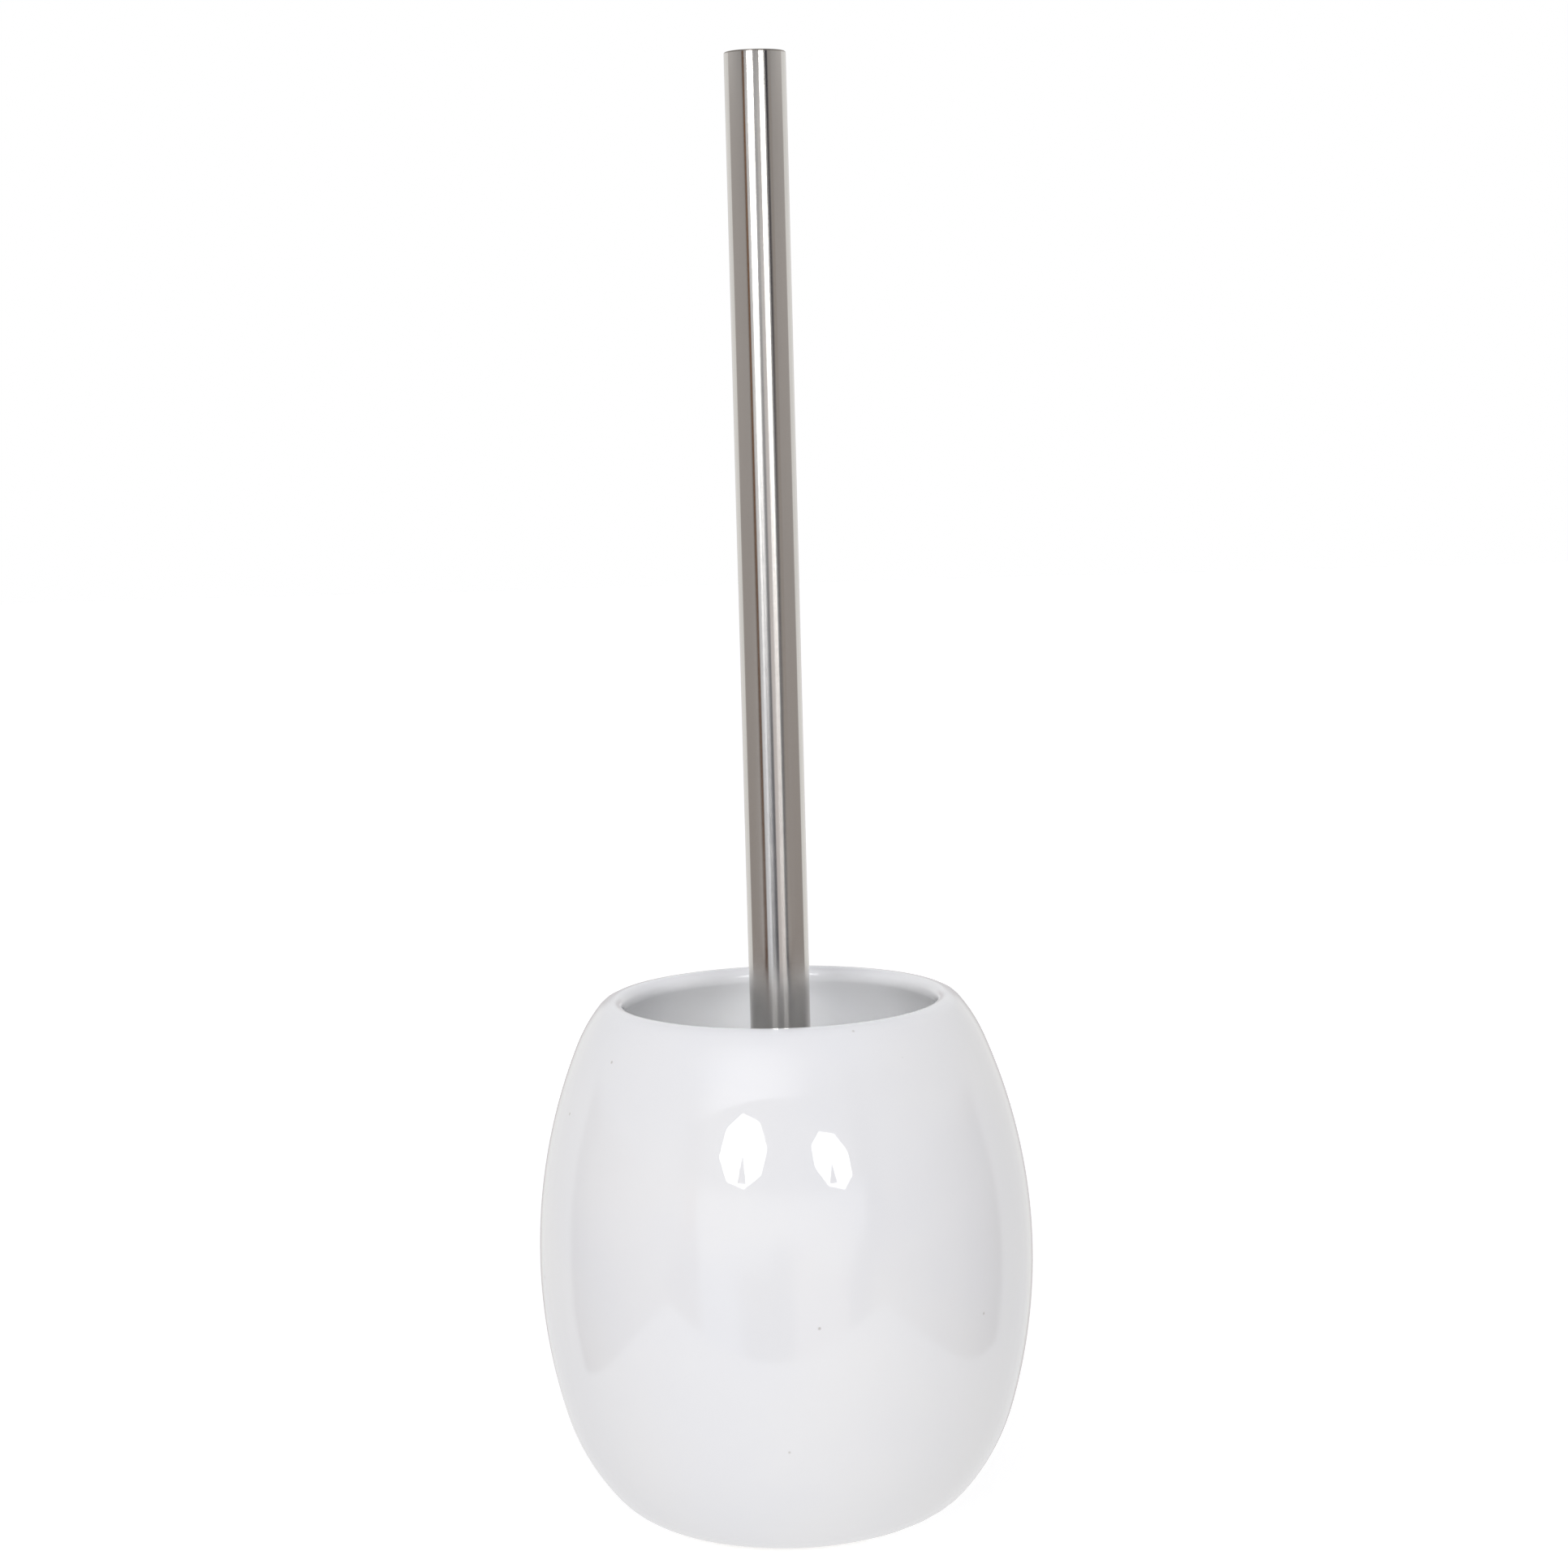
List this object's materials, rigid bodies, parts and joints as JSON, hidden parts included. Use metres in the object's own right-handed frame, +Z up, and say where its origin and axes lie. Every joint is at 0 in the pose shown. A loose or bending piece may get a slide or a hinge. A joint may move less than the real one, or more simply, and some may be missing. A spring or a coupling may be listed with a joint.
{
  "type": "toilet brush holder",
  "caption": "Bellied, glossy white glazed pot with an open mouth, and in it an upright toilet brush whose straight steel tube handle unscrews from its bristle head.",
  "frame": {"origin": "centre of the base, on the surface that the foot pads rest on", "axes": "+Z up along the common axis of pot, handle and brush head; -Y towards the front; +X to the right seen from the front"},
  "size_m": [0.1316, 0.1316, 0.3855],
  "materials": {
    "white_glaze": "high gloss white glaze",
    "pad_rubber": "matt translucent grey",
    "brushed_tube": "fine polishing marks around the tube, close to a mirror",
    "plug_plastic": "moulded, satin",
    "stud_steel": "turned and threaded",
    "washer_rubber": "matt",
    "head_plastic": "moulded, semi-gloss white",
    "bristle_nylon": "translucent white filament",
    "anchor_wire": "flat drawn wire"
  },
  "bodies": {
    "holder": {"holder_pot": "white_glaze", "foot_pads": "pad_rubber"},
    "brush_head": {"brush_core": "head_plastic", "bristle_ring_01": "bristle_nylon", "bristle_ring_02": "bristle_nylon", "bristle_ring_03": "bristle_nylon", "bristle_ring_04": "bristle_nylon", "bristle_ring_05": "bristle_nylon", "bristle_ring_06": "bristle_nylon", "bristle_ring_07": "bristle_nylon", "bristle_ring_08": "bristle_nylon", "bristle_ring_shoulder": "bristle_nylon", "bristle_ring_low": "bristle_nylon", "bristle_tip": "bristle_nylon", "tuft_anchors_ring_01": "anchor_wire", "tuft_anchors_ring_02": "anchor_wire", "tuft_anchors_ring_03": "anchor_wire", "tuft_anchors_ring_04": "anchor_wire", "tuft_anchors_ring_05": "anchor_wire", "tuft_anchors_ring_06": "anchor_wire", "tuft_anchors_ring_07": "anchor_wire", "tuft_anchors_ring_08": "anchor_wire", "tuft_anchors_ring_shoulder": "anchor_wire", "tuft_anchors_ring_low": "anchor_wire", "tuft_anchors_tip": "anchor_wire"},
    "washer": {"seal_washer": "washer_rubber"},
    "handle": {"handle_tube": "brushed_tube", "handle_top_cap": "brushed_tube", "handle_end_plug": "plug_plastic", "handle_stud": "stud_steel"}
  },
  "joints": [
    {"name": "brush_lift", "type": "slide", "parent": "holder", "child": "brush_head", "axis": [0, 0, 1], "range_m": [0, 0.16]},
    {"name": "handle_rise", "type": "slide", "parent": "brush_head", "child": "washer", "axis": [0, 0, 1], "range_m": [0, 0.0121]},
    {"name": "handle_unscrew", "type": "hinge", "parent": "washer", "child": "handle", "pos_m": [0, 0, 0.11], "axis": [0, 0, 1], "range_deg": [0, 2880]}
  ],
  "couplings": [
    {"joint": "handle_rise", "follows": "handle_unscrew", "m_per_rad": 0.00023873}
  ]
}
